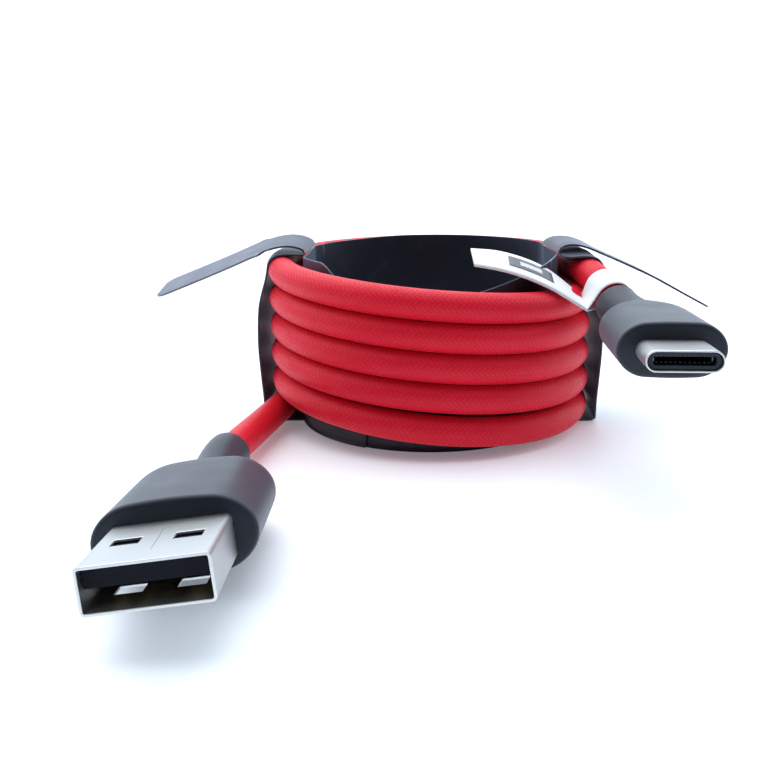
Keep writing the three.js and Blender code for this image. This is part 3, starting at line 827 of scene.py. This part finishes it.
def holder_band():
    """A strip wound once round with its ends lapped at the front, and a flap under each side of the coil."""
    outer_radius, inner_radius = 20.15, 19.8
    corner_radius = 1.6
    grid = []
    for share in np.linspace(0, 1, 301):
        degrees = BAND_FROM + (BAND_TO - BAND_FROM) * share
        radius = outer_radius + (inner_radius - outer_radius) * share
        angle = math.radians(degrees)
        way = np.array([math.cos(angle), math.sin(angle), 0])
        from_end = min(share, 1 - share) * math.radians(BAND_FROM - BAND_TO) * radius
        top = band_top(degrees) - corner_cut(from_end, corner_radius)
        heights = [0, 0.2, 0.45, 0.8, *np.linspace(1.5, top, 9)]
        grid.append([(band_place(way, radius, z), way) for z in heights])
    vertices, faces = sheet_solid(grid, FILM)
    for side in (-1, 1):
        flap = []
        for x in np.linspace(19.75, 26.3, 10):
            lift = 0.35 * smoothstep(x, 25.6, 26.3)
            half = FILM_WIDTH / 2 - 0.25 * smoothstep(x, 24.8, 26.3)
            flap.append([((side * x, y, FILM / 2 + lift), (0, 0, 1)) for y in np.linspace(-half, half, 7)])
        more, more_faces = sheet_solid(flap, FILM * 0.98)
        faces += [tuple(len(vertices) + v for v in face) for face in more_faces]
        vertices += more
    piece = make_piece("holder_band_film", vertices, faces, FILM_BLACK, "cable", ["holder_band"])
    bevel(piece, FILM_EDGE)


def profile_strip(kind, side, profile, samples, half_width_at, tilt=(0, 0), skew=0.0, moved=None):
    """A strip of film along a profile in the XZ plane, for either side: -1 is left, and 1 is right.

    tilt is how far the front edge is turned down, in degrees, at the root and from a third of the way out.
    skew turns the root's line, and moved gives each place's shift inwards, forwards and down from its (y, z).
    """
    body = f"{'left' if side < 0 else 'right'}_{kind}"
    curve = evenly(catmull_rom([(x, 0, z) for x, z in profile], 60), 0.05)
    length = lengths_along(curve)[-1]
    nearest = [round(share * (len(curve) - 1)) for share in samples]
    places = at_lengths(curve, np.array(samples) * length)
    ways = tangents(curve)[nearest]
    grid = []
    for share, middle, way in zip(samples, places, ways):
        degrees = tilt[0] + (tilt[1] - tilt[0]) * min(1, 3 * share)
        rotation = np.array(Matrix.Rotation(math.radians(degrees), 3, tuple(way)))
        across = rotation @ np.array([0.0, 1.0, 0.0])
        normal = np.cross(way, across)
        half = half_width_at(length * (1 - share))
        turned = skew * (1 - smoothstep(share, 0, 0.2)) * np.array([-1.0, 0, 0])
        grid.append([(middle + across * y + turned * y, normal) for y in np.linspace(-half, half, 11)])
    vertices, faces = sheet_solid(grid, FILM)
    if moved:
        shifts = [moved(y, z) for _, y, z in vertices]
        vertices = [v - shift for v, shift in zip(vertices, np.array(shifts))]
    if side < 0:
        vertices = [v * [-1, 1, 1] for v in vertices]
    piece = make_piece(f"holder_{body}_film", vertices, faces, FILM_BLACK, body, [f"holder_{body}"])
    bevel(piece, FILM_EDGE)


def tongue(side, profile, tilt, skew):
    """Folded out over the coil from the band's top edge: a narrow root, two barbs and a rounded end."""
    barb_at, barb_length, barb_width, narrower = 17.6, 0.9, 0.35, 0.9

    def half_width_at(from_end):
        root = narrower * smoothstep(from_end, barb_at + 0.3, barb_at + 1.3)
        barb = barb_width * max(0.0, 1 - abs(from_end - barb_at) / barb_length)
        return FILM_WIDTH / 2 - root + barb - corner_cut(from_end, 2.2)

    towards_end = 1 - 0.068 * (1 - np.linspace(0, 1, 22)) ** 2 - 0.0004  # closer and closer, for the corners
    samples = [*np.linspace(0, 0.93, 110), *towards_end]
    profile_strip("tongue", side, profile, samples, half_width_at, tilt, skew)


def strap(side):
    """Up the outside of the coil from the flap under it, and over the top as far as the band."""
    lower = [(26.1, 0.65), (26.15, 3.3), (26.4, 7), (26.65, 12.3)]
    left = [(26.45, 17), (26, 20.5), (25.4, 23.6), (25.05, 25.25), (24.2, 26.2), (22.95, 26.5), (19.5, 26.4)]
    right = [(26.5, 17), (26.5, 20.5), (26.35, 23.6), (26.0, 25.1), (25.1, 26.25), (23.9, 26.6), (20.3, 26.5)]
    lean, hollow, forwards, droop = 0.11, 0.0198, 2.2, 0.45

    def half_width_at(from_end):
        return FILM_WIDTH / 2 - corner_cut(from_end, 1.2)

    def moved(y, z):
        """The strap leans in at its rear edge, and its top follows the cord that it lies on."""
        upper = smoothstep(z, 18, 24)
        leaning = lean * (y + FILM_WIDTH / 2) * smoothstep(z, 0.6, 4)
        if side < 0:
            return leaning * (1 - upper) + hollow * y * y * upper, 0.0, 0.0
        return leaning * (1 + 0.18 * upper), forwards * upper, droop * smoothstep(-y, -1, 5) * upper

    samples = [*np.linspace(0, 0.955, 90), *np.linspace(0.958, 0.9995, 14)]
    profile_strip("strap", side, lower + (left if side < 0 else right), samples, half_width_at, moved=moved)


def holder():
    """The band, then each side's tongue along its own profile of (x, z) pairs, and each side's strap."""
    left = [
        (18.75, 26.7), (19.05, 27.3), (19.9, 27.75), (21.4, 28.05), (22.9, 28.0), (24.8, 27.6), (26.6, 26.95),
        (31, 25.1), (36, 23.08), (42.83, 20.43),
    ]
    right = [
        (18.95, 26.6), (19.35, 27.2), (20.4, 27.65), (22.2, 27.68), (24.2, 27.1), (26.2, 26.15),
        (30, 24.45), (34.3, 22.42), (38.8, 19.93), (42.87, 17.72),
    ]
    holder_band()
    tongue(-1, left, (4.5, 6.2), 0)
    tongue(1, right, (4, -1.6), 0.1)
    strap(-1)
    strap(1)


# ---- Paper tag ----


def tag_frame():
    """The collar's middle and three directions: along the cord, sideways over the coil, and up."""
    route = catmull_rom(ROUTE_C)
    at = TAG_PLACE * lengths_along(route)[-1]
    before, middle, after = at_lengths(route, [at - 0.2, at, at + 0.2])
    along = (after - before) / np.linalg.norm(after - before)
    sideways = np.array([-1.0, 0, 0]) + along * along[0]
    sideways /= np.linalg.norm(sideways)
    return middle, along, sideways, -np.cross(along, sideways)


def flag(middle, along, sideways, up):
    """The flag's middle sheet as a grid of places and one of normals, from the collar to the free end."""
    # Each long edge is given as (along, sideways, up) from the collar's middle.
    rear = [
        (-3.3, 2.7, -2.15), (-4.0, 4.7, -0.35), (-5.3, 7.6, 1.85),
        (-5.9, 11.0, 3.6), (-7.2, 14.5, 4.45), (-8.2, 18.2, 4.75),
    ]
    front = [
        (3.1, 4.0, -1.0), (2.5, 5.9, 0.25), (1.6, 9.1, 2.3),
        (0.45, 12.5, 3.8), (-0.3, 16.0, 5.0), (-0.8, 19.5, 5.85),
    ]
    directions = np.array([along, sideways, up])
    first, last = (middle + catmull_rom(edge, 12) @ directions for edge in (rear, front))
    shares = np.linspace(0, 1, TAG_COLUMNS)[None, :, None]
    places = first[:, None, :] * (1 - shares) + last[:, None, :] * shares
    normals = np.cross(np.gradient(places, axis=0), np.gradient(places, axis=1))
    return places, normals / np.linalg.norm(normals, axis=2)[:, :, None]


def collar(middle, along, sideways, up):
    """Rows of (place, normal) round the cord, from one end under the flag's root to the other."""
    radius, opening = 2.62, 28
    rear_end, front_end = 1.7 - TAG_WIDTH / 2, TAG_WIDTH / 2 - 0.9
    rows = []
    for angle in np.radians(np.linspace(opening - 360, -opening, 64)):
        way = math.cos(angle) * sideways + math.sin(angle) * up
        across = np.linspace(rear_end, front_end, TAG_COLUMNS)
        rows.append([(middle + place * along + radius * way, way) for place in across])
    return rows


def joined(start, end, steps):
    """Rows of (place, normal) that lead from one row to another without a kink."""
    rows = []
    for share in np.linspace(0, 1, steps + 2)[1:-1]:
        row = []
        for (place, normal), (end_place, end_normal) in zip(start, end):
            turned = normal * (1 - share) + end_normal * share
            row.append((place * (1 - share) + end_place * share, turned / np.linalg.norm(turned)))
        rows.append(row)
    return rows


def paper_tag():
    """Two leaves that lie on each other as the flag. The upper one goes on round the cord as the collar."""
    directions = tag_frame()
    places, normals = flag(*directions)
    ring = collar(*directions)
    shorter = ring[:-4]  # it stops short of the lower leaf
    ends = {"upper": (1, ring[0], 8, shorter), "lower": (-1, ring[-1], 4, ring[-1:])}
    for name, (side, ring_end, steps, rest) in ends.items():
        leaf = places + side * normals * TAG_PAPER / 2
        rows = [list(zip(*row)) for row in zip(leaf, normals)]
        vertices, faces = sheet_solid(rows[::-1] + joined(rows[0], ring_end, steps) + rest, TAG_PAPER * 0.95)
        make_piece(f"paper_tag_{name}_leaf", vertices, faces, PAPER, "tag", ["paper_tag"])
    printed_patch(places, normals)


def printed_patch(places, normals):
    """A plain printed block on the flag's upper face, with a paler one inside it, each an ink layer up."""
    ink = 0.03
    lift = TAG_PAPER + 0.02

    def surface(out, across):
        """A place on the flag, as shares of the way to its free end and from its rear edge to the front."""
        row, column = out * (len(places) - 1), across * (TAG_COLUMNS - 1)
        i, j = min(int(row), len(places) - 2), min(int(column), TAG_COLUMNS - 2)
        past_row, past_column = row - i, column - j

        def blend(grid):
            near, far = (grid[k, j] * (1 - past_column) + grid[k, j + 1] * past_column for k in (i, i + 1))
            return near * (1 - past_row) + far * past_row

        normal = blend(normals)
        return blend(places), normal / np.linalg.norm(normal)

    def block(name, out_range, across_range, material, layer):
        grid = []
        for out in np.linspace(*out_range, 12):
            row = [surface(out, across) for across in np.linspace(*across_range, 8)]
            grid.append([(place + normal * (lift + layer * ink), normal) for place, normal in row])
        vertices, faces = sheet_solid(grid, ink)
        make_piece(name, vertices, faces, material, "tag")

    block("paper_tag_patch", (0.36, 0.72), (0.16, 0.66), INK, 0)
    block("paper_tag_patch_middle", (0.45, 0.63), (0.31, 0.51), INK_PALE, 1)


# ---- Carried-over CAD nodes ----


def finish_nodes():
    """Procedural finishes for the small internal pieces that keep their CAD shape."""
    looks = {
        "usb_a_insulator": (INSULATOR, "insulator"),
        "usb_c_housing": (HOUSING, "insulator"),
        "usb_c_contacts_upper": (DULL_CONTACT, "contact"),
        "usb_c_contacts_lower": (DULL_CONTACT, "contact"),
        "usb_c_latch_left": (LATCH_METAL, "latch"),
        "usb_c_latch_right": (LATCH_METAL, "latch"),
        "usb_c_board": (BOARD, "board"),
        "usb_c_resistor": (CHIP, "resistor"),
    }
    for i in range(1, 5):
        looks[f"usb_a_contact_{i}"] = (GOLD, "contact")
    for plug in ("usb_a", "usb_c"):
        looks[f"{plug}_inner_mould"] = (INNER_MOULD, "inner_mould")
        looks[f"{plug}_crimp"] = (CRIMP_METAL, "crimp")
        looks[f"{plug}_cable_end"] = (BRAID_END, "cord_braid")
        for wire, material in WIRES.items():
            looks[f"{plug}_wire_{wire}"] = (material, f"wire_{wire}")
    for name, (material, slot) in looks.items():
        node = NODES[name]
        node.data.materials.clear()
        node.data.materials.append(material)


# ---- Surroundings ----


def world_light():
    """Brightest beyond the object, and dim from behind the camera, which sees plain white itself."""
    world = bpy.data.worlds.new("studio")
    bpy.context.scene.world = world
    world.use_nodes = True
    nodes, links = world.node_tree.nodes, world.node_tree.links
    nodes.clear()
    output = nodes.new("ShaderNodeOutputWorld")
    direction = nodes.new("ShaderNodeTexCoord")
    split = nodes.new("ShaderNodeSeparateXYZ")
    links.new(direction.outputs["Generated"], split.inputs[0])
    facing = nodes.new("ShaderNodeMapRange")
    facing.interpolation_type = "SMOOTHSTEP"
    for name, value in (("From Min", -0.9), ("From Max", 0.5), ("To Min", 0.06), ("To Max", 1.8)):
        facing.inputs[name].default_value = value
    links.new(split.outputs[1], facing.inputs["Value"])
    lit = nodes.new("ShaderNodeBackground")
    lit.inputs["Color"].default_value = (0.8, 0.9, 1.0, 1)
    links.new(facing.outputs["Result"], lit.inputs["Strength"])
    seen = nodes.new("ShaderNodeBackground")
    seen.inputs["Color"].default_value = (1, 1, 1, 1)
    seen.inputs["Strength"].default_value = 1.0
    path = nodes.new("ShaderNodeLightPath")
    mix = nodes.new("ShaderNodeMixShader")
    links.new(path.outputs["Is Camera Ray"], mix.inputs[0])
    links.new(lit.outputs[0], mix.inputs[1])
    links.new(seen.outputs[0], mix.inputs[2])
    links.new(mix.outputs[0], output.inputs["Surface"])


def soft_sun():
    """A very wide light from above, slightly behind the object and to its left, like a large diffuser."""
    data = bpy.data.lights.new("overhead_diffuser", "SUN")
    data.energy = 2.0
    data.angle = math.radians(75)
    data.color = (1.0, 0.99, 0.975)
    lamp = bpy.data.objects.new("overhead_diffuser", data)
    bpy.context.scene.collection.objects.link(lamp)
    lamp.rotation_euler = Vector((0.25, -0.3, -1.0)).to_track_quat("-Z", "Y").to_euler()


def floor():
    """A plain pale floor, large enough to meet the white background. It glows faintly, painted light that
    lifts the shadows cast on it.
    """
    mesh = bpy.data.meshes.new("floor")
    half, level = 3.0, -0.00002
    corners = [(-half, -half, level), (half, -half, level), (half, half, level), (-half, half, level)]
    mesh.from_pydata(corners, [], [(0, 1, 2, 3)])
    # The emission is painted light: a faint glow that lightens the shadows on the floor.
    finish = Finish(
        "floor_pale", Specular_IOR_Level=0.2, Emission_Strength=0.17, Emission_Color=(0.84, 0.93, 1.0, 1)
    )
    clouds = finish.noise(6.0, 2.0)
    patches = finish.ramp(clouds, 0.3, 0.7, 0.0, 1.0)
    finish.colour(finish.mix(patches, (0.86, 0.885, 0.93, 1), (0.88, 0.9, 0.94, 1)))
    finish.roughness(finish.ramp(clouds, 0.3, 0.7, 0.5, 0.6))
    mesh.materials.append(finish.material)
    plane = bpy.data.objects.new("floor", mesh)
    bpy.context.scene.collection.objects.link(plane)


def camera():
    """Low, in front of the coil, looking down at it a little and turned slightly left."""
    focal_pixels, picture = 950, 770
    yaw, pitch, roll = 0.048, 0.268, 0.014
    standpoint = (0, -0.14956, 0.04559)
    forward = np.array([-math.sin(yaw) * math.cos(pitch), math.cos(yaw) * math.cos(pitch), -math.sin(pitch)])
    level = np.array([math.cos(yaw), math.sin(yaw), 0.0])
    down_level = np.cross(forward, level)
    right = math.cos(roll) * level + math.sin(roll) * down_level
    down = -math.sin(roll) * level + math.cos(roll) * down_level
    data = bpy.data.cameras.new("camera")
    data.sensor_width = 36
    data.lens = focal_pixels / picture * data.sensor_width
    data.clip_start, data.clip_end = 0.005, 20
    seen = bpy.data.objects.new("camera", data)
    bpy.context.scene.collection.objects.link(seen)
    turn = np.eye(4)
    turn[:3, 0], turn[:3, 1], turn[:3, 2] = right, -down, -forward
    turn[:3, 3] = standpoint
    seen.matrix_world = Matrix(turn.tolist())
    bpy.context.scene.camera = seen


def picture_settings():
    """Colours go to the picture as they are, with no film curve."""
    view = bpy.context.scene.view_settings
    view.view_transform = "Standard"
    view.look = "None"
    view.exposure = 0.0


# ---- The scene ----

camera()
cord_piece, cord_path = cord()
overmould("usb_a_overmould_grained", USB_A, ROUTE_A, "usb_a_overmould")
overmould("usb_c_overmould_grained", USB_C, ROUTE_C, "usb_c_overmould")
usb_a_shell()
usb_c_shell()
shell_seam()
holder()
paper_tag()
finish_nodes()

tuple(to_world(USB_A, relief_line(USB_A, ROUTE_A))[-1] * MM)
[tuple(p) for p in cord_path * MM]

world_light()
soft_sun()
floor()
picture_settings()
